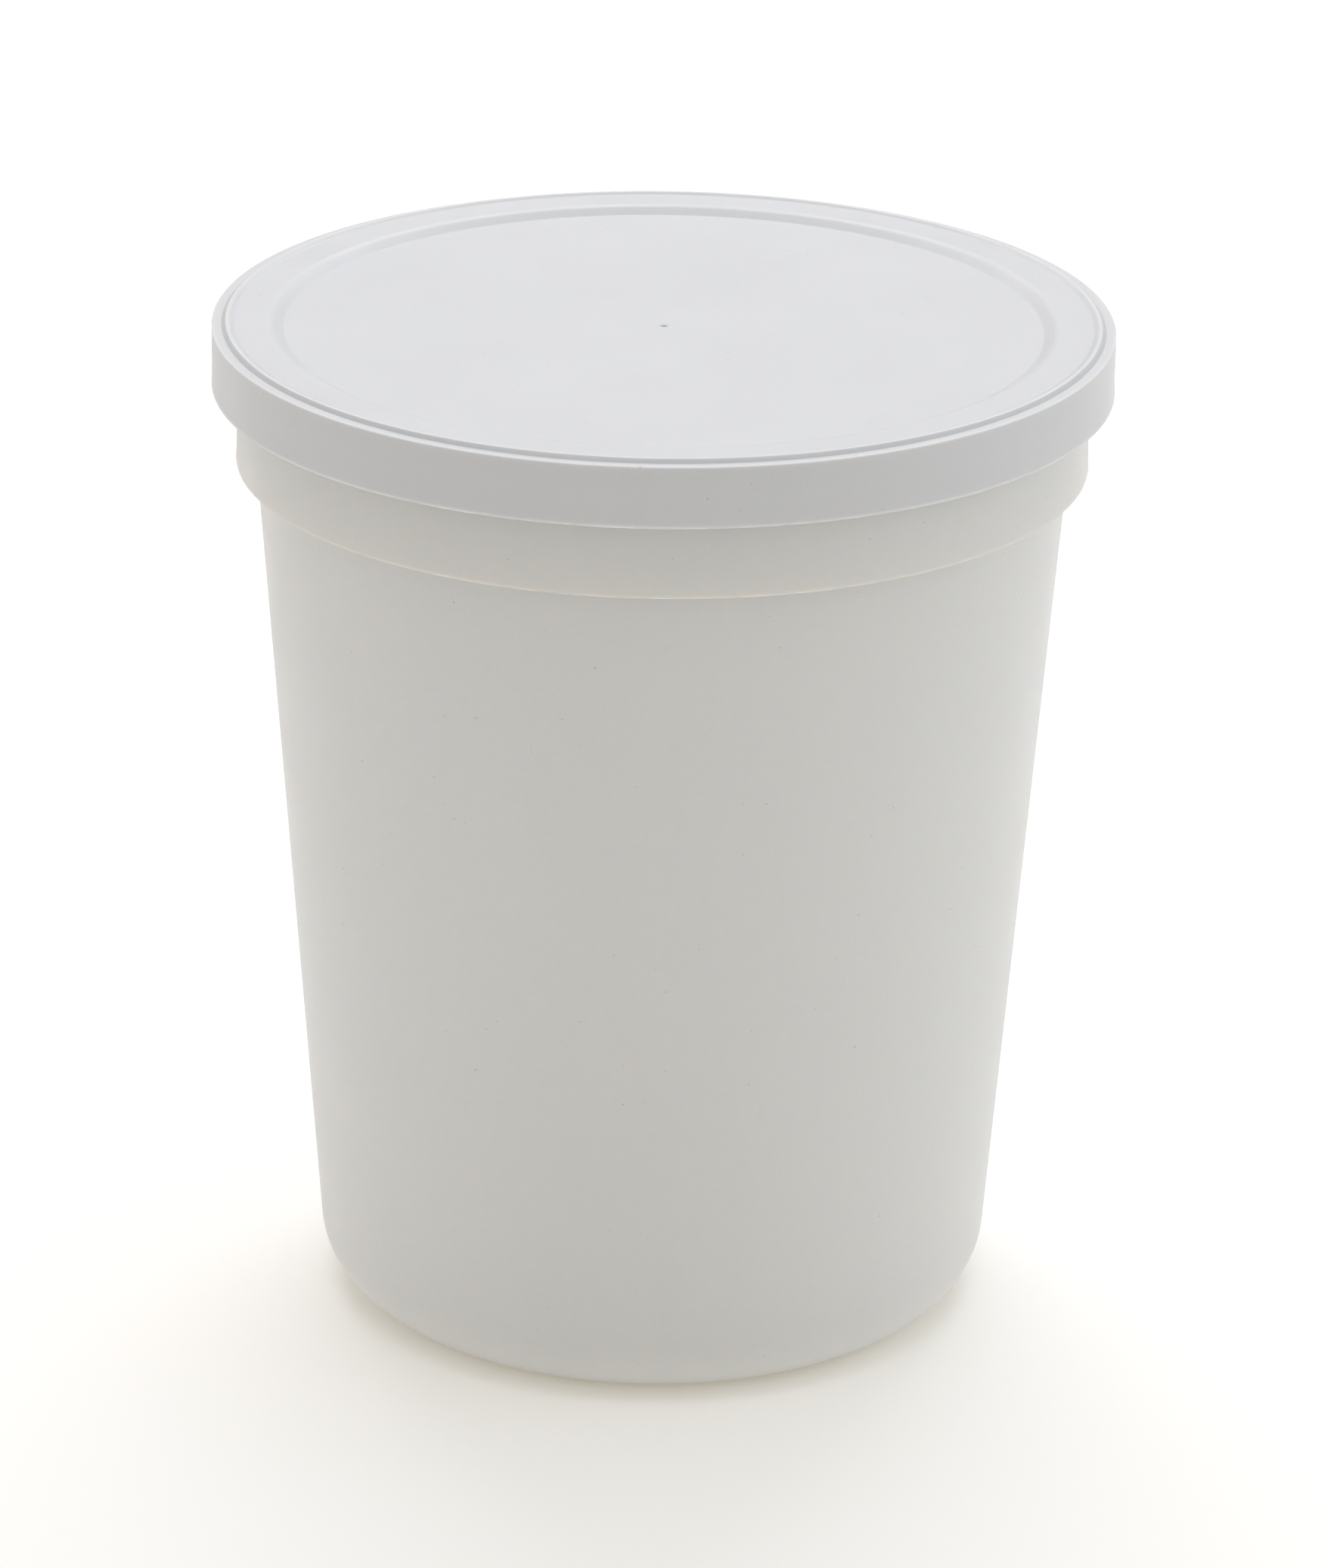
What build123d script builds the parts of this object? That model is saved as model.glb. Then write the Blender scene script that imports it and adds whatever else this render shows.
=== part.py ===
from build123d import *
import os

# A 5 litre fermenting bucket of white polypropylene with a plain press-on lid.
# Millimetres, +Z up, the axis of the bucket on Z and the foot ring standing on Z = 0.
# Both pieces are lathed from one section each, drawn as (radius, height, corner radius).

# Sizes over the whole object
LID_DIAMETER = 206.0
LEDGE_HEIGHT = 236.75           # ground to the lid's flat outer ledge
BODY_FOOT_DIAMETER = 156.4      # where the side line would meet the ground
BODY_TOP_DIAMETER = 186.4       # the body at the level of the collar's lower edge
COLLAR_DIAMETER = 195.6
WALL = 1.6

# Bucket: base
BASE_CORNER = 16.0              # radius of the big round edge at the bottom
FOOT_RING_INNER = 58.0
BASE_RISE = 1.2                 # the base is pushed up inside the foot ring
GATE_RADIUS = 0.9
GATE_HEIGHT = 0.35

# Bucket: collar, the hollow skirt below the lid
COLLAR_DROP = 31.65             # ledge to the collar's lower edge
COLLAR_TOP_DROP = 14.0          # ledge to the top of the collar's web
COLLAR_WALL = 1.3
COLLAR_DRAFT = 0.45             # the collar is this much slimmer at its top
GUSSETS = 24
GUSSET_THICKNESS = 1.2
GUSSET_INSET = 2.2              # the gussets stop this far above the collar's edge

# Bucket: rim and snap flange
LID_SKIN = 1.3                  # ledge thickness, and so the seat above the rim
FLANGE_RADIUS = 100.9
FLANGE_TOP_DROP = 5.2
FLANGE_THICKNESS = 1.6

# Lid: top
SKIRT_DROP = 13.75
SKIRT_FLARE = 0.2
BEAD_OUTER = 100.7              # foot of the riser on the ledge
BEAD_TOP_OUTER = 99.85
BEAD_TOP_INNER = 99.0
BEAD_INNER = 98.0
BEAD_RISE = 1.15
LAND_RISE = 0.55                # flat land inside the bead, above the ledge
RECESS_OUTER = 89.7
RECESS_INNER = 86.7
RECESS_DROP = 1.1               # centre panel, below the ledge
PANEL_THICKNESS = 1.6
NUB_RADIUS = 0.65
NUB_HEIGHT = 0.35

# Lid: underside
SKIRT_INNER = 101.7
SNAP_RIB_REACH = 0.6
SNAP_RIB_DROP = 8.3
PLUG_OUTER = 93.1
PLUG_THICKNESS = 1.6
PLUG_DROP = 10.3
PLUG_TAPER = 0.6
SEAL_BEAD = 0.25
SEAL_BEAD_DROP = 6.2

# Worked out from the sizes above
LID_RADIUS = LID_DIAMETER / 2
COLLAR_RADIUS = COLLAR_DIAMETER / 2
COLLAR_BOTTOM = LEDGE_HEIGHT - COLLAR_DROP
SIDE_SLOPE = (BODY_TOP_DIAMETER - BODY_FOOT_DIAMETER) / 2 / COLLAR_BOTTOM
RIM_TOP = LEDGE_HEIGHT - LID_SKIN


def body_radius(height):
    """Outside radius of the tapered body at a height above the ground."""
    return BODY_FOOT_DIAMETER / 2 + SIDE_SLOPE * height


def lathe(section):
    """Turn a closed section of (radius, height, corner radius) rows about Z."""
    points = [(radius, 0, height) for radius, height, _ in section]
    corners = [corner for _, _, corner in section]
    outline = FilletPolyline(*points, radius=corners, close=True)
    return revolve(make_face(outline), axis=Axis.Z)


def base_outside():
    """Underside of the base, from the gate mark to the side of the body."""
    return [
        (0, BASE_RISE - GATE_HEIGHT, 0),
        (GATE_RADIUS, BASE_RISE - GATE_HEIGHT, 0.1),
        (GATE_RADIUS, BASE_RISE, 0.1),
        (FOOT_RING_INNER - BASE_RISE, BASE_RISE, 0.8),
        (FOOT_RING_INNER, 0, 0.6),
        (BODY_FOOT_DIAMETER / 2, 0, BASE_CORNER),
    ]


def collar_outside():
    """Hollow collar: web out from the body, skirt down to a thin edge and back up."""
    web_top = LEDGE_HEIGHT - COLLAR_TOP_DROP
    web_bottom = web_top - COLLAR_WALL
    top_radius = COLLAR_RADIUS - COLLAR_DRAFT
    return [
        (body_radius(web_bottom), web_bottom, 0.4),
        (top_radius - COLLAR_WALL - 0.1, web_bottom, 0.3),
        (COLLAR_RADIUS - COLLAR_WALL, COLLAR_BOTTOM, 0.2),
        (COLLAR_RADIUS, COLLAR_BOTTOM, 0.2),
        (top_radius, web_top, 0.9),
        (body_radius(web_top), web_top, 0.6),
    ]


def rim_outside():
    """Snap flange that the lid's skirt goes over, and the lip above it."""
    flange_top = LEDGE_HEIGHT - FLANGE_TOP_DROP
    flange_bottom = flange_top - FLANGE_THICKNESS
    return [
        (body_radius(flange_bottom), flange_bottom, 0.6),
        (FLANGE_RADIUS, flange_bottom, 0.4),
        (FLANGE_RADIUS, flange_top, 0.7),
        (body_radius(flange_top), flange_top, 0.6),
        (body_radius(RIM_TOP), RIM_TOP, 0.6),
    ]


def bucket_inside():
    """Inner wall and floor, a wall's thickness inside the outer surface."""
    floor = BASE_RISE + WALL
    ring_floor = WALL + 0.1
    return [
        (body_radius(RIM_TOP) - WALL, RIM_TOP, 0.6),
        (body_radius(ring_floor) - WALL, ring_floor, BASE_CORNER - WALL),
        (FOOT_RING_INNER + 0.5, ring_floor, 0.6),
        (FOOT_RING_INNER + 0.5 - (floor - ring_floor), floor, 0.8),
        (0, floor, 0),
    ]


def gusset():
    """One radial gusset between the body and the collar, on the +X side."""
    inner = body_radius(COLLAR_BOTTOM) - 0.2
    outer = COLLAR_RADIUS - COLLAR_DRAFT - COLLAR_WALL / 2
    bottom = COLLAR_BOTTOM + GUSSET_INSET
    top = LEDGE_HEIGHT - COLLAR_TOP_DROP - COLLAR_WALL / 2
    block = Box(outer - inner, GUSSET_THICKNESS, top - bottom)
    return Pos((inner + outer) / 2, 0, (top + bottom) / 2) * block


def make_bucket():
    shell = lathe(base_outside() + collar_outside() + rim_outside() + bucket_inside())
    for turn in range(GUSSETS):
        shell += Rot(0, 0, 360 / GUSSETS * (turn + 0.5)) * gusset()
    return shell


def lid_outside():
    """Top of the lid from the centre outwards, then down the outside of the skirt."""
    panel = LEDGE_HEIGHT - RECESS_DROP
    land = LEDGE_HEIGHT + LAND_RISE
    bead = LEDGE_HEIGHT + BEAD_RISE
    skirt_bottom = LEDGE_HEIGHT - SKIRT_DROP
    return [
        (0, panel + NUB_HEIGHT, 0),
        (NUB_RADIUS, panel + NUB_HEIGHT, 0.15),
        (NUB_RADIUS, panel, 0.1),
        (RECESS_INNER, panel, 1.2),
        (RECESS_OUTER, land, 4.0),
        (BEAD_INNER, land, 1.6),
        (BEAD_TOP_INNER, bead, 0.7),
        (BEAD_TOP_OUTER, bead, 0.4),
        (BEAD_OUTER, LEDGE_HEIGHT, 0.3),
        (LID_RADIUS, LEDGE_HEIGHT, 0.3),
        (LID_RADIUS + SKIRT_FLARE, skirt_bottom, 0.25),
    ]


def skirt_inside():
    """Inside of the skirt, with the rib that snaps below the bucket's flange."""
    skirt_bottom = LEDGE_HEIGHT - SKIRT_DROP
    rib = LEDGE_HEIGHT - SNAP_RIB_DROP
    return [
        (SKIRT_INNER + 0.25, skirt_bottom, 0.25),
        (SKIRT_INNER, rib - 1.4, 0.5),
        (SKIRT_INNER - SNAP_RIB_REACH, rib - 0.4, 0.3),
        (SKIRT_INNER - SNAP_RIB_REACH, rib + 0.2, 0.3),
        (SKIRT_INNER, rib + 0.8, 0.3),
        (SKIRT_INNER, RIM_TOP, 0.6),
    ]


def lid_underside():
    """Hollow behind the bead, the sealing plug inside the rim, and the panel."""
    under_panel = LEDGE_HEIGHT - RECESS_DROP - PANEL_THICKNESS
    plug_bottom = LEDGE_HEIGHT - PLUG_DROP
    seal = LEDGE_HEIGHT - SEAL_BEAD_DROP
    plug_inner = PLUG_OUTER - PLUG_THICKNESS
    return [
        (BEAD_TOP_OUTER - 0.1, RIM_TOP, 0.3),
        (BEAD_TOP_OUTER - 0.5, RIM_TOP + 0.6, 0.25),
        (BEAD_TOP_INNER - 0.2, RIM_TOP + 0.6, 0.25),
        (BEAD_INNER, RIM_TOP, 0.3),
        (PLUG_OUTER, RIM_TOP, 0.4),
        (PLUG_OUTER - 0.2, seal + 1.0, 0.3),
        (PLUG_OUTER - 0.2 + SEAL_BEAD, seal, 0.4),
        (PLUG_OUTER - 0.3, seal - 1.0, 0.3),
        (PLUG_OUTER - PLUG_TAPER, plug_bottom + 0.6, 0.3),
        (PLUG_OUTER - PLUG_TAPER - 0.4, plug_bottom, 0.3),
        (plug_inner + 0.1, plug_bottom, 0.3),
        (plug_inner - 0.1, RIM_TOP, 0.4),
        (RECESS_OUTER + 0.6, RIM_TOP, 0.6),
        (RECESS_INNER + 0.6, under_panel, 1.0),
        (0, under_panel, 0),
    ]


def make_lid():
    return lathe(lid_outside() + skirt_inside() + lid_underside())


os.makedirs("parts", exist_ok=True)
export_step(make_bucket(), "parts/bucket.step")
export_step(make_lid(), "parts/lid.step")
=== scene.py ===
"""A 5 litre plastic fermenting bucket with a plain press-on lid, on a pale studio floor.

Both pieces are lathed: a section is drawn corner by corner, its corners are rounded, and it is
spun about the bucket's axis. Gussets, pin marks and small edge nicks are added after the spin.
"""
import math

import bmesh
import bpy
from mathutils import Matrix, Vector


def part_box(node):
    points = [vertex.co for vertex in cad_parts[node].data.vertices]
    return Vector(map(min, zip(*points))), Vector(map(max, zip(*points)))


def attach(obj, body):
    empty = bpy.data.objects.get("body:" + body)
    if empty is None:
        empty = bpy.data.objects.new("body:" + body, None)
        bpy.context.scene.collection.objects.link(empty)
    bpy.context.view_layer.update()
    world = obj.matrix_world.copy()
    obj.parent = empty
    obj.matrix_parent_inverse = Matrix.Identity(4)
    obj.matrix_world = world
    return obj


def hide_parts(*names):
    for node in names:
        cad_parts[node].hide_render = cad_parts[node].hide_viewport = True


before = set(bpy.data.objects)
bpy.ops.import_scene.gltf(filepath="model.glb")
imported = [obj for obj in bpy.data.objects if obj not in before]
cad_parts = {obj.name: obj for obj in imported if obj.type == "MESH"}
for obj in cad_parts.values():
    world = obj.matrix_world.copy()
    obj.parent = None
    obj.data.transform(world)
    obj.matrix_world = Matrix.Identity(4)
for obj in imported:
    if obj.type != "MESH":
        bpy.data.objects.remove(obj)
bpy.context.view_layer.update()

MM = 0.001

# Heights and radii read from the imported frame, in millimetres
tub_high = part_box("bucket")[1]
lid_low, lid_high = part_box("lid")
RIM_TOP = tub_high.z / MM
LID_TOP = lid_high.z / MM
SKIRT_BOTTOM = lid_low.z / MM
FLANGE_RADIUS = tub_high.x / MM

# Bucket, in millimetres
WALL = 1.6
SIDE_SLOPE = 0.07314            # how much the radius grows with height
FOOT_RADIUS = 78.2              # where the side line would meet the ground
BASE_CORNER = 16.0
FOOT_RING_INNER = 58.0
BASE_RISE = 1.2
COLLAR_RADIUS = 97.8
COLLAR_DRAFT = 0.45
COLLAR_WALL = 1.3
COLLAR_BOTTOM = RIM_TOP - 30.35
COLLAR_TOP = RIM_TOP - 12.7
FLANGE_TOP = RIM_TOP - 3.9
FLANGE_THICKNESS = 1.6
GUSSETS = 24
GUSSET_THICKNESS = 1.2
GUSSET_INSET = 2.2              # how far above the collar's edge the gussets stop
GUSSET_SLANT = 1.4              # how much higher a gusset's foot is at the collar
GUSSET_BITE = 0.2               # how far a gusset sinks into the body wall
GUSSET_ROUNDING = 0.2
COLLAR_LIP = 0.07               # the thin edge of flash round the collar's foot
TUB_GATE_RADIUS = 0.9           # the gate mark in the middle of the base

# Lid, in millimetres
LID_RADIUS = 103.0
SKIRT_FLARE = 0.2
SKIRT_LIP = 0.07                # the thin edge of flash round the skirt's foot
SINK_MARK = 0.06                # where the skirt has shrunk in over the snap rib
SINK_REACH = 2.4                # how far above and below the rib the sink mark runs
LEDGE = LID_TOP - 1.15
LEDGE_FACE = LEDGE + 0.2        # the upper face, just above the height that the lid is set out from
LAND = LEDGE + 0.55
PANEL = LEDGE - 1.1
PANEL_THICKNESS = 1.6
BEAD_OUTER = 100.7
BEAD_TOP_OUTER = 99.75
BEAD_TOP_INNER = 99.0
BEAD_INNER = 98.0
RECESS_OUTER = 89.7
RECESS_INNER = 86.7
SKIRT_INNER = 101.7
SNAP_RIB_DROP = 8.3
SNAP_RIB_REACH = 0.6
PLUG_OUTER = 93.1
PLUG_THICKNESS = 1.6
PLUG_DROP = 10.3
SEAL_DROP = 6.2                 # the slight swelling of the plug that seals
LID_GATE_RADIUS = 0.65          # the gate mark in the middle of the panel
PIN_MARKS = 8
PIN_RADIUS = 4.0
PIN_CIRCLE = 66.0
PIN_DEPTH = 0.15
PIN_ROUNDING = 0.06
PIN_SIDES = 40
PIN_CUTTER_LENGTH = 1.0
# Small knocks in the ledge's outer edge: bearing from +X in degrees, and depth
LEDGE_NICKS = (
    (265.5, 0.22), (183.0, 0.18), (201.0, 0.12), (318.0, 0.12), (64.0, 0.2), (118.5, 0.14),
)
NICK_REACH = 0.8
NICK_FALL = 0.5                 # how far a knock goes down, as a share of its depth

# Both pieces, in millimetres
GATE_HEIGHT = 0.35              # how far a gate mark stands out
LIP_HEIGHT = 0.15               # height of a thin edge of flash
LIP_RUNOUT = 0.4                # height at which the edge has died away into the wall
EDGE_JITTER = 0.03              # unevenness along a thin edge
EDGE_BAND = 0.05                # how far in from the edge the unevenness reaches
EDGE_BAND_HEIGHT = 0.25

# Fineness of the meshes, in millimetres and radians
SPIN_STEPS = 480
CHORD_ERROR = 0.015             # furthest that a facet may be from its true arc
WIDEST_STEP = math.radians(22.5)
MERGE_DISTANCE = 0.002
SAME_PLACE = 0.001              # how near a vertex has to be to count as a corner
SHARP_ANGLE = math.radians(40)


def body_radius(height):
    """Outside radius of the tapered body at a height above the floor."""
    return FOOT_RADIUS + SIDE_SLOPE * height


# --- Modelling helpers -------------------------------------------------------------------


def select_vertices(piece, test):
    """In edit mode, select exactly the vertices whose place, in millimetres, passes the test."""
    bpy.ops.mesh.select_mode(type="VERT")
    bpy.ops.mesh.select_all(action="DESELECT")
    mesh = bmesh.from_edit_mesh(piece.data)
    for vertex in mesh.verts:
        vertex.select = test(piece.matrix_world @ vertex.co / MM)
    mesh.select_flush_mode()
    bmesh.update_edit_mesh(piece.data)


def corner_cut(before, corner, after, radius):
    """How far from a corner its rounding starts, and the angle that it turns through."""
    towards = Vector((before[0] - corner[0], before[1] - corner[1]))
    onwards = Vector((after[0] - corner[0], after[1] - corner[1]))
    opening = towards.angle(onwards)
    return radius / math.tan(opening / 2), math.pi - opening


def arc_step(radius):
    """Turn from one facet to the next that keeps a rounded corner true."""
    if radius < CHORD_ERROR:
        return WIDEST_STEP
    return min(WIDEST_STEP, 2 * math.acos(1 - CHORD_ERROR / radius))


def draw_section(name, section):
    """Extrude a chain of vertices through a section's (radius, height, rounding) rows."""
    bpy.ops.object.select_all(action="DESELECT")
    first = section[0]
    bpy.ops.mesh.primitive_plane_add(size=MM, location=(first[0] * MM, 0, first[1] * MM))
    piece = bpy.context.object
    piece.name = name
    piece.data.name = name
    bpy.ops.object.transform_apply(location=True)
    bpy.ops.object.mode_set(mode="EDIT")
    bpy.ops.mesh.merge(type="CENTER")
    for here, there in zip(section, section[1:]):
        step = ((there[0] - here[0]) * MM, 0, (there[1] - here[1]) * MM)
        bpy.ops.mesh.extrude_vertices_move(TRANSFORM_OT_translate={"value": step})
    return piece


def round_corners(piece, section):
    """Bevel each corner of the drawn chain to its own radius."""
    for before, corner, after in zip(section, section[1:], section[2:]):
        radius = corner[2]
        if radius == 0:
            continue
        cut, turn = corner_cut(before, corner, after, radius)
        place = Vector((corner[0], 0, corner[1]))
        select_vertices(piece, lambda spot: (spot - place).length < SAME_PLACE)
        bpy.ops.mesh.bevel(
            offset=cut * MM,
            segments=max(2, math.ceil(turn / arc_step(radius))),
            affect="VERTICES",
            clamp_overlap=False,
        )


def make_active(piece):
    """Select one piece alone and make it the active one."""
    bpy.ops.object.select_all(action="DESELECT")
    piece.select_set(True)
    bpy.context.view_layer.objects.active = piece


def apply_modifier(piece, kind, **settings):
    """Add a modifier, set it and apply it to the mesh."""
    make_active(piece)
    bpy.ops.object.modifier_add(type=kind)
    modifier = piece.modifiers[-1]
    for setting, value in settings.items():
        setattr(modifier, setting, value)
    bpy.ops.object.modifier_apply(modifier=modifier.name)


def turn_outwards(piece):
    """Merge doubled vertices and point every face of a closed body outwards."""
    make_active(piece)
    bpy.ops.object.mode_set(mode="EDIT")
    bpy.ops.mesh.select_all(action="SELECT")
    bpy.ops.mesh.remove_doubles(threshold=MERGE_DISTANCE * MM)
    bpy.ops.mesh.normals_make_consistent(inside=False)
    bpy.ops.object.mode_set(mode="OBJECT")


def lathe(name, section):
    """A closed body of revolution: the rounded section turned once about Z."""
    piece = draw_section(name, section)
    round_corners(piece, section)
    bpy.ops.object.mode_set(mode="OBJECT")
    apply_modifier(
        piece, "SCREW", angle=math.tau, steps=SPIN_STEPS, render_steps=SPIN_STEPS,
        use_merge_vertices=True, merge_threshold=MERGE_DISTANCE * MM,
    )
    turn_outwards(piece)
    return piece


def add_block(name, middle, size):
    """A plain block in millimetres, to be shaped further."""
    bpy.ops.object.select_all(action="DESELECT")
    bpy.ops.mesh.primitive_cube_add(
        size=MM, location=Vector(middle) * MM, scale=size,
    )
    block = bpy.context.object
    block.name = name
    bpy.ops.object.transform_apply(location=True, rotation=False, scale=True)
    return block


def turn_about_axis(piece, angle):
    """Turn a piece's mesh about the bucket's axis."""
    make_active(piece)
    piece.rotation_euler.z = angle
    bpy.ops.object.transform_apply(location=False, rotation=True, scale=False)


def copies_round_axis(piece, count):
    """Stand copies evenly round Z, each with its own mesh, and join them to the first."""
    copies = [piece]
    for number in range(1, count):
        make_active(piece)
        bpy.ops.object.duplicate(linked=False)
        copies.append(bpy.context.object)
        turn_about_axis(copies[-1], math.tau * number / count)
    make_active(piece)
    for copy in copies:
        copy.select_set(True)
    bpy.ops.object.join()
    return piece


def combine(piece, other, operation):
    """Weld another body on, or cut it away, and remove it."""
    apply_modifier(piece, "BOOLEAN", operation=operation, object=other, solver="EXACT")
    make_active(other)
    bpy.ops.object.delete()
    turn_outwards(piece)


def roughen_edge(piece, least_radius, highest, seed):
    """Make a thin moulded edge, beyond a radius and below a height, slightly uneven."""
    make_active(piece)
    bpy.ops.object.mode_set(mode="EDIT")
    select_vertices(piece, lambda spot: spot.xy.length > least_radius and spot.z < highest)
    bpy.ops.transform.vertex_random(offset=EDGE_JITTER * MM, uniform=1.0, normal=0.0, seed=seed)
    bpy.ops.object.mode_set(mode="OBJECT")


def knock_edge(piece, bearing, depth):
    """Push the ledge's outer edge in and down at one bearing, as a knock does."""
    angle = math.radians(bearing)
    place = Vector((LID_RADIUS * math.cos(angle), LID_RADIUS * math.sin(angle), LEDGE_FACE))
    make_active(piece)
    bpy.ops.object.mode_set(mode="EDIT")
    select_vertices(piece, lambda spot: (spot - place).length < NICK_REACH)
    inward = Vector((-math.cos(angle), -math.sin(angle), -NICK_FALL)) * depth * MM
    bpy.ops.transform.translate(value=inward)
    bpy.ops.object.mode_set(mode="OBJECT")


def smooth(piece):
    """Shade smooth, with flats kept flat by weighting normals by area."""
    make_active(piece)
    bpy.ops.object.shade_smooth_by_angle(angle=SHARP_ANGLE)
    apply_modifier(piece, "WEIGHTED_NORMAL", keep_sharp=True)


# --- Bucket ------------------------------------------------------------------------------


def bucket_section():
    """Closed outline of the bucket's wall, from the middle of the underside round to the floor."""
    web_bottom = COLLAR_TOP - COLLAR_WALL
    collar_top_radius = COLLAR_RADIUS - COLLAR_DRAFT
    flange_bottom = FLANGE_TOP - FLANGE_THICKNESS
    floor = BASE_RISE + WALL
    ring_floor = WALL + 0.1
    ring_channel = FOOT_RING_INNER + 0.5
    gate_end = BASE_RISE - GATE_HEIGHT
    return [
        (0, gate_end, 0),
        (TUB_GATE_RADIUS, gate_end, 0.1),
        (TUB_GATE_RADIUS, BASE_RISE, 0.1),
        (FOOT_RING_INNER - BASE_RISE, BASE_RISE, 0.8),
        (FOOT_RING_INNER, 0, 0.6),
        (FOOT_RADIUS, 0, BASE_CORNER),
        (body_radius(web_bottom), web_bottom, 0.4),
        (collar_top_radius - COLLAR_WALL - 0.1, web_bottom, 0.3),
        (COLLAR_RADIUS - COLLAR_WALL, COLLAR_BOTTOM, 0.25),
        (COLLAR_RADIUS, COLLAR_BOTTOM, 0.06),
        (COLLAR_RADIUS, COLLAR_BOTTOM + LIP_HEIGHT, 0.08),
        (COLLAR_RADIUS - COLLAR_LIP, COLLAR_BOTTOM + LIP_RUNOUT, 0.2),
        (collar_top_radius, COLLAR_TOP, 0.9),
        (body_radius(COLLAR_TOP), COLLAR_TOP, 0.6),
        (body_radius(flange_bottom), flange_bottom, 0.6),
        (FLANGE_RADIUS, flange_bottom, 0.4),
        (FLANGE_RADIUS, FLANGE_TOP, 0.7),
        (body_radius(FLANGE_TOP), FLANGE_TOP, 0.6),
        (body_radius(RIM_TOP), RIM_TOP, 0.6),
        (body_radius(RIM_TOP) - WALL, RIM_TOP, 0.6),
        (body_radius(ring_floor) - WALL, ring_floor, BASE_CORNER - WALL),
        (ring_channel, ring_floor, 0.6),
        (ring_channel - (floor - ring_floor), floor, 0.8),
        (0, floor, 0),
    ]


def make_gussets():
    """The ring of thin gussets that stiffen the collar from behind."""
    inner = body_radius(COLLAR_BOTTOM) - GUSSET_BITE
    outer = COLLAR_RADIUS - COLLAR_DRAFT - COLLAR_WALL / 2
    bottom = COLLAR_BOTTOM + GUSSET_INSET
    top = COLLAR_TOP - COLLAR_WALL / 2
    middle = ((inner + outer) / 2, 0, (bottom + top) / 2)
    gusset = add_block("gusset", middle, (outer - inner, GUSSET_THICKNESS, top - bottom))
    bpy.ops.object.mode_set(mode="EDIT")
    select_vertices(gusset, lambda spot: spot.z < middle[2] and spot.x > middle[0])
    bpy.ops.transform.translate(value=(0, 0, GUSSET_SLANT * MM))
    bpy.ops.mesh.select_mode(type="VERT")
    bpy.ops.mesh.select_all(action="SELECT")
    bpy.ops.mesh.bevel(offset=GUSSET_ROUNDING * MM, segments=2, affect="EDGES")
    bpy.ops.object.mode_set(mode="OBJECT")
    turn_about_axis(gusset, math.pi / GUSSETS)
    return copies_round_axis(gusset, GUSSETS)


def make_bucket():
    """The lathed tub, with its gussets welded on and a thin uneven edge on the collar."""
    shell = lathe("bucket_shell", bucket_section())
    combine(shell, make_gussets(), "UNION")
    roughen_edge(shell, COLLAR_RADIUS - EDGE_BAND, COLLAR_BOTTOM + EDGE_BAND_HEIGHT, seed=3)
    return shell


# --- Lid ---------------------------------------------------------------------------------


def lid_section():
    """Closed outline of the lid, from the gate nub over the top, skirt and plug to the middle."""
    rib = LEDGE - SNAP_RIB_DROP
    seal = LEDGE - SEAL_DROP
    plug_bottom = LEDGE - PLUG_DROP
    plug_inner = PLUG_OUTER - PLUG_THICKNESS
    under_panel = PANEL - PANEL_THICKNESS
    gate_end = PANEL + GATE_HEIGHT
    skirt_foot = LID_RADIUS + SKIRT_FLARE
    top_side = [
        (0, gate_end, 0),
        (LID_GATE_RADIUS, gate_end, 0.15),
        (LID_GATE_RADIUS, PANEL, 0.1),
        (RECESS_INNER, PANEL, 1.2),
        (RECESS_OUTER, LAND, 4.0),
        (BEAD_INNER, LAND, 1.6),
        (BEAD_TOP_INNER, LID_TOP, 0.7),
        (BEAD_TOP_OUTER, LID_TOP, 0.35),
        (BEAD_OUTER, LEDGE_FACE, 0.3),
        (LID_RADIUS, LEDGE_FACE, 0.25),
        (LID_RADIUS + 0.04, rib + SINK_REACH, 30),
        (LID_RADIUS + 0.06 - SINK_MARK, rib, 15),
        (LID_RADIUS + 0.06, rib - SINK_REACH, 30),
        (skirt_foot - SKIRT_LIP, SKIRT_BOTTOM + LIP_RUNOUT, 0.2),
        (skirt_foot - EDGE_JITTER, SKIRT_BOTTOM + LIP_HEIGHT, 0.08),
        (skirt_foot - EDGE_JITTER, SKIRT_BOTTOM, 0.06),
    ]
    skirt_inside = [
        (SKIRT_INNER + 0.25, SKIRT_BOTTOM, 0.25),
        (SKIRT_INNER, rib - 1.4, 0.5),
        (SKIRT_INNER - SNAP_RIB_REACH, rib - 0.4, 0.3),
        (SKIRT_INNER - SNAP_RIB_REACH, rib + 0.2, 0.3),
        (SKIRT_INNER, rib + 0.8, 0.3),
        (SKIRT_INNER, RIM_TOP, 0.6),
    ]
    plug_and_underside = [
        (BEAD_TOP_OUTER - 0.1, RIM_TOP, 0.3),
        (BEAD_TOP_OUTER - 0.5, RIM_TOP + 0.6, 0.25),
        (BEAD_TOP_INNER - 0.2, RIM_TOP + 0.6, 0.25),
        (BEAD_INNER, RIM_TOP, 0.3),
        (PLUG_OUTER, RIM_TOP, 0.4),
        (PLUG_OUTER - 0.2, seal + 1.0, 0.3),
        (PLUG_OUTER + 0.05, seal, 0.4),
        (PLUG_OUTER - 0.3, seal - 1.0, 0.3),
        (PLUG_OUTER - 0.6, plug_bottom + 0.6, 0.3),
        (PLUG_OUTER - 1.0, plug_bottom, 0.3),
        (plug_inner + 0.1, plug_bottom, 0.3),
        (plug_inner - 0.1, RIM_TOP, 0.4),
        (RECESS_OUTER + 0.6, RIM_TOP, 0.6),
        (RECESS_INNER + 0.6, under_panel, 1.0),
        (0, under_panel, 0),
    ]
    return top_side + skirt_inside + plug_and_underside


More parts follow.
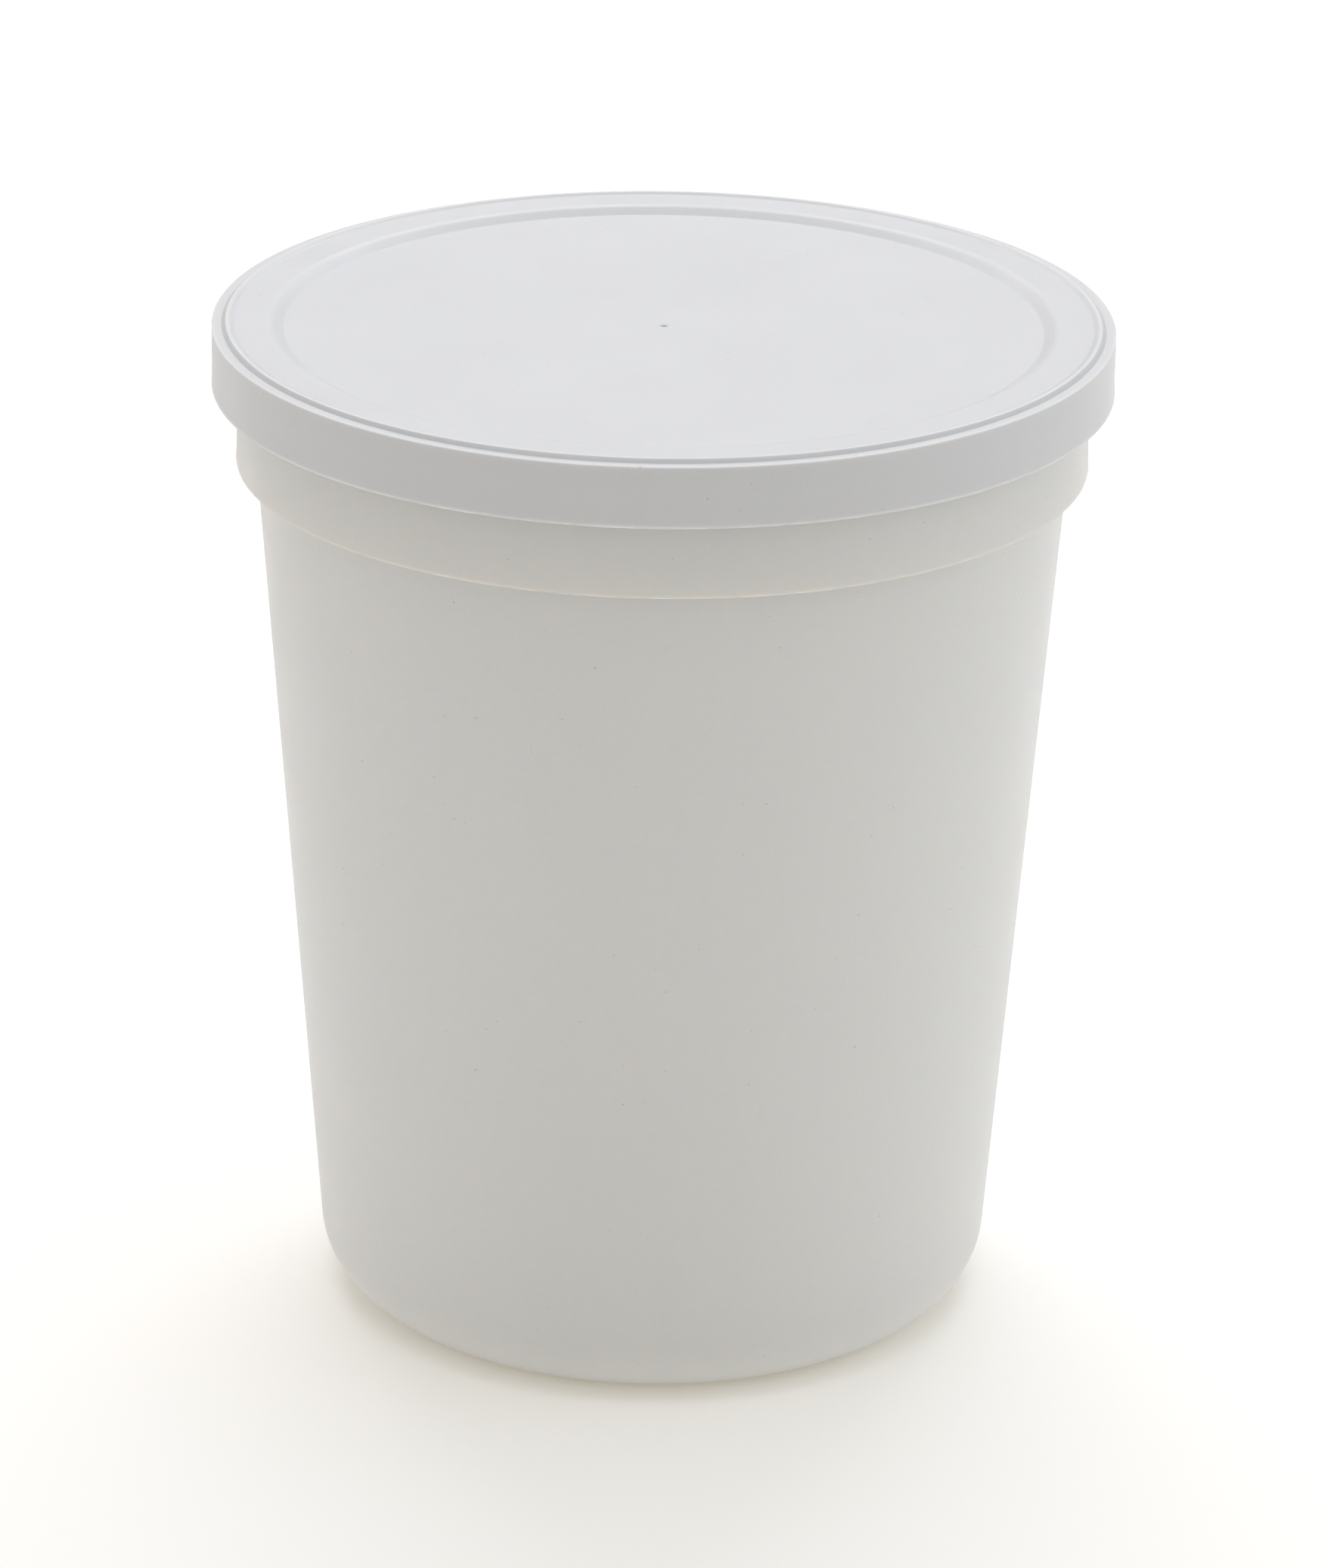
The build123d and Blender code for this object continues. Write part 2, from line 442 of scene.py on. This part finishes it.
def make_pin_marks():
    """Cutter for the round marks that ejector pins leave under the centre panel."""
    under_panel = PANEL - PANEL_THICKNESS
    bpy.ops.object.select_all(action="DESELECT")
    bpy.ops.mesh.primitive_cylinder_add(
        vertices=PIN_SIDES, radius=PIN_RADIUS * MM, depth=PIN_CUTTER_LENGTH * MM,
        location=(PIN_CIRCLE * MM, 0, (under_panel + PIN_DEPTH - PIN_CUTTER_LENGTH / 2) * MM),
    )
    pin = bpy.context.object
    pin.name = "pin_mark"
    bpy.ops.object.transform_apply(location=True)
    bpy.ops.object.mode_set(mode="EDIT")
    select_vertices(pin, lambda spot: spot.z > under_panel)
    bpy.ops.mesh.bevel(offset=PIN_ROUNDING * MM, segments=2, affect="EDGES")
    bpy.ops.object.mode_set(mode="OBJECT")
    turn_about_axis(pin, math.pi / PIN_MARKS)
    return copies_round_axis(pin, PIN_MARKS)


def make_lid():
    """The lathed lid, with pin marks underneath, an uneven skirt edge and knocks in the ledge."""
    shell = lathe("lid_shell", lid_section())
    combine(shell, make_pin_marks(), "DIFFERENCE")
    skirt_foot = LID_RADIUS + SKIRT_FLARE
    roughen_edge(shell, skirt_foot - EDGE_BAND, SKIRT_BOTTOM + EDGE_BAND_HEIGHT, seed=5)
    for bearing, depth in LEDGE_NICKS:
        knock_edge(shell, bearing, depth)
    return shell


bucket = make_bucket()
lid = make_lid()
smooth(bucket)
smooth(lid)


# --- Materials ---------------------------------------------------------------------------

# Edges are lightened towards this white: rubbed wear, together with a painted highlight along them
WEAR_AND_HIGHLIGHT_WHITE = (0.80, 0.80, 0.79)
SCUFF_GREY = (0.45, 0.45, 0.43)
SPECK_BROWN = (0.10, 0.085, 0.065)
GATE_BLUSH = (0.42, 0.42, 0.42)

# How strongly each mark covers the plastic's own colour
# strength of the rubbed wear and painted highlight along edges
WEAR_AND_HIGHLIGHT_STRENGTH = 0.5
BLUSH_STRENGTH = 0.3
SCUFF_STRENGTH = 0.1
FLECK_STRENGTH = 0.3
SPECK_STRENGTH = 0.35

# Gloss and relief
GLOSS = 0.40
GLOSS_DRIFT = 0.05
SCUFF_DULLING = 0.15
SCUFF_DEPTH = 0.3
SPECK_HEIGHT = 0.5
RELIEF_STRENGTH = 0.35
RELIEF_HEIGHT = 0.03            # in millimetres


def add_node(tree, kind, values=None, links=None, **settings):
    """Add a node: its sockets get values, or links from other nodes' outputs."""
    made = tree.nodes.new(kind)
    for setting, value in settings.items():
        setattr(made, setting, value)
    for socket, value in (values or {}).items():
        made.inputs[socket].default_value = value
    for socket, source in (links or {}).items():
        tree.links.new(source, made.inputs[socket])
    return made


def calculate(tree, operation, *terms):
    """A Math node, whose terms are numbers or other nodes' outputs."""
    node = tree.nodes.new("ShaderNodeMath")
    node.operation = operation
    for socket, term in zip(node.inputs, terms):
        if isinstance(term, (int, float)):
            socket.default_value = term
        else:
            tree.links.new(term, socket)
    return node.outputs[0]


def spread(tree, value, low, high, to_low=0.0, to_high=1.0):
    """Stretch a value's range from low..high to another, clamped."""
    node = add_node(
        tree, "ShaderNodeMapRange", links={"Value": value},
        values={"From Min": low, "From Max": high, "To Min": to_low, "To Max": to_high},
    )
    return node.outputs["Result"]


def mix_colours(tree, mask, under, over):
    """The colour under, covered by the colour over where the mask is 1."""
    node = tree.nodes.new("ShaderNodeMix")
    node.data_type = "RGBA"
    colours = [socket for socket in node.inputs if socket.type == "RGBA"]
    tree.links.new(mask, node.inputs[0])
    for socket, colour in zip(colours, (under, over)):
        if isinstance(colour, tuple):
            socket.default_value = (*colour, 1)
        else:
            tree.links.new(colour, socket)
    return next(socket for socket in node.outputs if socket.type == "RGBA")


def new_group(name, inputs, output, output_kind="NodeSocketFloat"):
    """A shader node group with named inputs and one output, still to be filled."""
    group = bpy.data.node_groups.new(name, "ShaderNodeTree")
    kinds = {"place": "NodeSocketVector", "colour": "NodeSocketColor"}
    for socket in inputs:
        kind = kinds.get(socket.split()[-1], "NodeSocketFloat")
        group.interface.new_socket(name=socket, in_out="INPUT", socket_type=kind)
    group.interface.new_socket(name=output, in_out="OUTPUT", socket_type=output_kind)
    entry = group.nodes.new("NodeGroupInput")
    leave = group.nodes.new("NodeGroupOutput")
    return group, entry.outputs, leave.inputs[output]


def noise(tree, place, scale, detail=2.0, roughness=0.5):
    """A Noise Texture's value; the scale is a number or another node's output."""
    node = add_node(
        tree, "ShaderNodeTexNoise", links={"Vector": place},
        values={"Detail": detail, "Roughness": roughness},
    )
    if isinstance(scale, (int, float)):
        node.inputs["Scale"].default_value = scale
    else:
        tree.links.new(scale, node.inputs["Scale"])
    return node.outputs[0]


def make_grain_group():
    """Height of a fine sparked mould texture over a very faint orange peel."""
    group, given, height = new_group("mould_grain", ["place", "grains per metre"], "height")
    fine = noise(group, given["place"], given["grains per metre"], detail=3.0, roughness=0.6)
    coarse_scale = calculate(group, "DIVIDE", given["grains per metre"], 9.0)
    peel = noise(group, given["place"], coarse_scale, detail=1.0)
    total = calculate(group, "ADD", calculate(group, "MULTIPLY", fine, 0.55),
                      calculate(group, "MULTIPLY", peel, 0.45))
    group.links.new(total, height)
    return group


def make_tone_group():
    """Resin colour that drifts in clouds, in upright flow streaks and in fine mottle."""
    group, given, colour = new_group(
        "resin_tone", ["place", "main colour", "drift colour", "mottle"],
        "colour", "NodeSocketColor")
    clouds = noise(group, given["place"], 16.0, detail=3.0)
    upright = add_node(
        group, "ShaderNodeMapping", values={"Scale": (1.0, 1.0, 0.07)},
        links={"Vector": given["place"]},
    ).outputs["Vector"]
    streaks = noise(group, upright, 75.0, detail=2.0)
    fine = noise(group, given["place"], 1500.0, detail=2.0, roughness=0.7)
    drift = calculate(group, "ADD", calculate(group, "MULTIPLY", clouds, 0.6),
                      calculate(group, "MULTIPLY", streaks, 0.4))
    drift = spread(group, drift, 0.35, 0.65, 0.0, 0.8)
    speckle = calculate(group, "MULTIPLY", spread(group, fine, 0.3, 0.7), given["mottle"])
    total = calculate(group, "ADD", drift, speckle)
    mixed = mix_colours(group, total, given["main colour"], given["drift colour"])
    group.links.new(mixed, colour)
    return group


def make_speck_group():
    """Mask of dark specks and dust: small balls at scattered cell centres near the surface."""
    group, given, mask = new_group(
        "dust_specks", ["place", "cells per metre", "speck size", "share"], "mask")
    cells = add_node(
        group, "ShaderNodeTexVoronoi", values={"Randomness": 1.0},
        links={"Vector": given["place"], "Scale": given["cells per metre"]},
    )
    lot = add_node(group, "ShaderNodeSeparateColor", links={"Color": cells.outputs["Color"]})
    chosen = calculate(group, "LESS_THAN", lot.outputs[0], given["share"])
    size = calculate(group, "MULTIPLY", given["speck size"],
                     calculate(group, "ADD", lot.outputs[1], 0.5))
    inside = calculate(group, "SUBTRACT", 1.0,
                       calculate(group, "DIVIDE", cells.outputs["Distance"], size))
    soft = spread(group, inside, 0.0, 0.45)
    group.links.new(calculate(group, "MULTIPLY", soft, chosen), mask)
    return group


def make_scuff_group():
    """Mask of short, bent hairline scuffs."""
    group, given, mask = new_group(
        "hairline_scuffs", ["place", "cells per metre", "width", "share"], "mask")
    bend = add_node(group, "ShaderNodeTexNoise", links={"Vector": given["place"]},
                    values={"Scale": 30.0, "Detail": 1.0})
    offset = add_node(group, "ShaderNodeVectorMath", operation="SCALE",
                      values={"Scale": 0.03}, links={0: bend.outputs["Color"]})
    bent = add_node(group, "ShaderNodeVectorMath", operation="ADD",
                    links={0: given["place"], 1: offset.outputs[0]})
    lines = add_node(
        group, "ShaderNodeTexVoronoi", feature="DISTANCE_TO_EDGE",
        links={"Vector": bent.outputs[0], "Scale": given["cells per metre"]},
    )
    thin = calculate(group, "SUBTRACT", 1.0,
                     calculate(group, "DIVIDE", lines.outputs["Distance"], given["width"]))
    patches = noise(group, given["place"], 55.0, detail=1.0)
    threshold = calculate(group, "SUBTRACT", 1.0, given["share"])
    present = calculate(group, "MULTIPLY", calculate(group, "SUBTRACT", patches, threshold), 12.0)
    both = calculate(group, "MINIMUM",
                     spread(group, thin, 0.0, 1.0), spread(group, present, 0.0, 1.0))
    group.links.new(both, mask)
    return group


def make_wear_and_highlight_ring_group():
    """Mask near a round edge at one radius and height, in metres: rubbed wear with a painted
    highlight along edges, and the blush round a gate.
    """
    group, given, mask = new_group(
        "wear_and_highlight_ring", ["place", "edge radius", "edge height", "reach"], "mask")
    parts = add_node(group, "ShaderNodeSeparateXYZ", links={"Vector": given["place"]}).outputs
    radius = calculate(group, "SQRT", calculate(
        group, "ADD", calculate(group, "MULTIPLY", parts["X"], parts["X"]),
        calculate(group, "MULTIPLY", parts["Y"], parts["Y"])))
    across = calculate(group, "SUBTRACT", radius, given["edge radius"])
    above = calculate(group, "SUBTRACT", parts["Z"], given["edge height"])
    distance = calculate(group, "SQRT", calculate(
        group, "ADD", calculate(group, "MULTIPLY", across, across),
        calculate(group, "MULTIPLY", above, above)))
    near = calculate(group, "SUBTRACT", 1.0, calculate(group, "DIVIDE", distance, given["reach"]))
    patchy = spread(group, noise(group, given["place"], 90.0, detail=3.0), 0.3, 0.65, 0.35, 1.0)
    wear_and_highlight_mask = calculate(group, "MULTIPLY", spread(group, near, 0.0, 0.7), patchy)
    group.links.new(wear_and_highlight_mask, mask)
    return group


GRAIN = make_grain_group()
TONE = make_tone_group()
SPECKS = make_speck_group()
SCUFFS = make_scuff_group()
WEAR_AND_HIGHLIGHT_RING = make_wear_and_highlight_ring_group()


def use_group(tree, group, place, **values):
    """Place a node group in a material with its own values, and return its output."""
    node = tree.nodes.new("ShaderNodeGroup")
    node.node_tree = group
    tree.links.new(place, node.inputs["place"])
    for socket, value in values.items():
        value = (*value, 1) if isinstance(value, tuple) else value
        node.inputs[socket.replace("_", " ")].default_value = value
    return node.outputs[0]


def moulded_plastic(name, main, drift, edges, scatter, scatter_radius, marks):
    """Injection moulded plastic: drifting tone, fine grain, specks, scuffs and rubbed edges
    lightened as a painted highlight.

    Edges and marks are rows of radius, height and reach, in millimetres, for the rubbed edges
    with their painted highlight and for the blush round the gate. Scatter is how deep light goes
    in, in millimetres.
    """
    material = bpy.data.materials.new(name)
    material.use_nodes = True
    tree = material.node_tree
    shader = tree.nodes["Principled BSDF"]
    place = tree.nodes.new("ShaderNodeTexCoord").outputs["Object"]

    colour = use_group(tree, TONE, place, main_colour=main, drift_colour=drift, mottle=0.9)
    scuffs = use_group(tree, SCUFFS, place, cells_per_metre=38.0, width=0.005, share=0.36)
    specks = use_group(tree, SPECKS, place, cells_per_metre=120.0, speck_size=0.02, share=0.3)
    flecks = use_group(tree, SPECKS, place, cells_per_metre=420.0, speck_size=0.09, share=0.12)
    grain = use_group(tree, GRAIN, place, grains_per_metre=2600.0)

    # Rubbed wear and painted highlight: edges lightened towards white, standing in for the bright
    # lines light draws along them
    for radius, height, reach in edges:
        wear_and_highlight = use_group(tree, WEAR_AND_HIGHLIGHT_RING, place, edge_radius=radius * MM, edge_height=height * MM,
                        reach=reach * MM)
        colour = mix_colours(tree, calculate(tree, "MULTIPLY", wear_and_highlight, WEAR_AND_HIGHLIGHT_STRENGTH),
                             colour, WEAR_AND_HIGHLIGHT_WHITE)
    for radius, height, reach in marks:
        blush = use_group(tree, WEAR_AND_HIGHLIGHT_RING, place, edge_radius=radius * MM, edge_height=height * MM,
                          reach=reach * MM)
        colour = mix_colours(tree, calculate(tree, "MULTIPLY", blush, BLUSH_STRENGTH),
                             colour, GATE_BLUSH)
    for mask, strength, cover in (
        (scuffs, SCUFF_STRENGTH, SCUFF_GREY),
        (flecks, FLECK_STRENGTH, SPECK_BROWN),
        (specks, SPECK_STRENGTH, SPECK_BROWN),
    ):
        colour = mix_colours(tree, calculate(tree, "MULTIPLY", mask, strength), colour, cover)
    tree.links.new(colour, shader.inputs["Base Color"])

    sheen_drift = noise(tree, place, 45.0, detail=3.0)
    rough = spread(tree, sheen_drift, 0.3, 0.7, GLOSS - GLOSS_DRIFT, GLOSS + GLOSS_DRIFT)
    dulled = calculate(tree, "MULTIPLY", scuffs, SCUFF_DULLING)
    rough = calculate(tree, "ADD", rough, dulled)
    tree.links.new(rough, shader.inputs["Roughness"])

    height = calculate(tree, "SUBTRACT", grain, calculate(tree, "MULTIPLY", scuffs, SCUFF_DEPTH))
    height = calculate(tree, "ADD", height, calculate(tree, "MULTIPLY", specks, SPECK_HEIGHT))
    bump = add_node(tree, "ShaderNodeBump", links={"Height": height},
                    values={"Strength": RELIEF_STRENGTH, "Distance": RELIEF_HEIGHT * MM})
    tree.links.new(bump.outputs["Normal"], shader.inputs["Normal"])

    shader.inputs["Subsurface Weight"].default_value = 1.0
    shader.inputs["Subsurface Radius"].default_value = scatter_radius
    shader.inputs["Subsurface Scale"].default_value = scatter * MM
    return material


tub_plastic = moulded_plastic(
    "natural_white_tub", main=(0.704, 0.708, 0.695), drift=(0.722, 0.724, 0.706),
    # rubbed wear with a painted highlight along the collar's foot
    edges=((COLLAR_RADIUS, COLLAR_BOTTOM + 0.3, 0.5),),
    scatter=1.5, scatter_radius=(1.0, 0.8, 0.55),
    marks=((TUB_GATE_RADIUS, BASE_RISE - 0.2, 1.2),),
)
lid_plastic = moulded_plastic(
    "white_lid", main=(0.643, 0.654, 0.664), drift=(0.660, 0.669, 0.677),
    # rubbed wear with a painted highlight along the ledge, the bead crest and the skirt's foot
    edges=(
        (LID_RADIUS, LEDGE_FACE, 0.45),
        (BEAD_TOP_OUTER, LID_TOP, 0.4),
        (LID_RADIUS + SKIRT_FLARE, SKIRT_BOTTOM + 0.3, 0.5),
    ),
    scatter=1.2, scatter_radius=(1.0, 0.9, 0.8),
    marks=((0.6, PANEL + 0.2, 0.8),),
)
bucket.data.materials.append(tub_plastic)
lid.data.materials.append(lid_plastic)


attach(bucket, "bucket")
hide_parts("bucket")
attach(lid, "lid")
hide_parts("lid")


# --- Stage, in metres ----------------------------------------------------------------------

FLOOR_SIZE = 12.0
FLOOR_WHITE = (0.962, 0.962, 0.962)
FLOOR_WHITE_DRIFT = (0.972, 0.972, 0.972)
FLOOR_GLOW = (0.161, 0.147, 0.116)
CAMERA_DISTANCE = 1.431
CAMERA_HEIGHT = 0.694
CAMERA_PITCH = 0.3796           # radians below level
CAMERA_YAW = 0.0015
CAMERA_ROLL = 0.014
CAMERA_LENS = 150.9             # in millimetres, as the sensor is
SENSOR_LONG_SIDE = 36.0
LAMP_TARGET = (0, 0, 0.12)       # the middle of the bucket


def glowing_acrylic():
    """Matt white acrylic with a barely visible drift in tone, glowing faintly."""
    material = bpy.data.materials.new("pale_floor")
    material.use_nodes = True
    tree = material.node_tree
    shader = tree.nodes["Principled BSDF"]
    place = tree.nodes.new("ShaderNodeTexCoord").outputs["Object"]
    clouds = spread(tree, noise(tree, place, 2.0, detail=2.0), 0.3, 0.7)
    colour = mix_colours(tree, clouds, FLOOR_WHITE, FLOOR_WHITE_DRIFT)
    tree.links.new(colour, shader.inputs["Base Color"])
    shader.inputs["Emission Color"].default_value = (*FLOOR_GLOW, 1)
    shader.inputs["Emission Strength"].default_value = 1.0
    shader.inputs["Roughness"].default_value = 0.8
    return material


def make_floor():
    """A plain floor much larger than the view."""
    bpy.ops.object.select_all(action="DESELECT")
    bpy.ops.mesh.primitive_plane_add(size=FLOOR_SIZE)
    floor = bpy.context.object
    floor.name = "studio_floor"
    floor.data.materials.append(glowing_acrylic())


def add_softbox(name, place, width, height, colour, power):
    """A large soft area light aimed at the middle of the bucket."""
    bpy.ops.object.light_add(type="AREA")
    lamp = bpy.context.object
    lamp.name = name
    lamp.data.shape = "RECTANGLE"
    lamp.data.size = width
    lamp.data.size_y = height
    lamp.data.color = colour
    lamp.data.energy = power
    lamp.location = place
    towards = Vector(LAMP_TARGET) - Vector(place)
    lamp.rotation_euler = towards.to_track_quat("-Z", "Y").to_euler()


def light_world(colour):
    """Even soft surroundings of one brightness and colour."""
    world = bpy.data.worlds.new("studio_white")
    world.use_nodes = True
    world.node_tree.nodes["Background"].inputs["Color"].default_value = (*colour, 1)
    bpy.context.scene.world = world


def add_camera():
    """The view from the front and above that the stage is lit for."""
    bpy.ops.object.camera_add()
    camera = bpy.context.object
    camera.name = "studio_camera"
    camera.data.sensor_width = SENSOR_LONG_SIDE
    camera.data.lens = CAMERA_LENS
    camera.data.clip_start = 0.01
    camera.matrix_world = (
        Matrix.Translation((0, -CAMERA_DISTANCE, CAMERA_HEIGHT))
        @ Matrix.Rotation(-CAMERA_YAW, 4, "Z")
        @ Matrix.Rotation(math.pi / 2 - CAMERA_PITCH, 4, "X")
        @ Matrix.Rotation(CAMERA_ROLL, 4, "Z")
    )
    bpy.context.scene.camera = camera


make_floor()
add_softbox("top_softbox", (0, 0, 1.7), 1.6, 1.6, (0.884, 0.945, 1), 8.72)
add_softbox("back_softbox", (0, 1.3, 1.4), 1.8, 1.0, (0.972, 0.957, 1), 14.1)
add_softbox("right_softbox", (1.4, 0, 0.6), 1.2, 1.2, (0.731, 0.87, 1), 2.45)
light_world((0.520, 0.499, 0.482))
add_camera()
bpy.context.scene.view_settings.view_transform = "Standard"
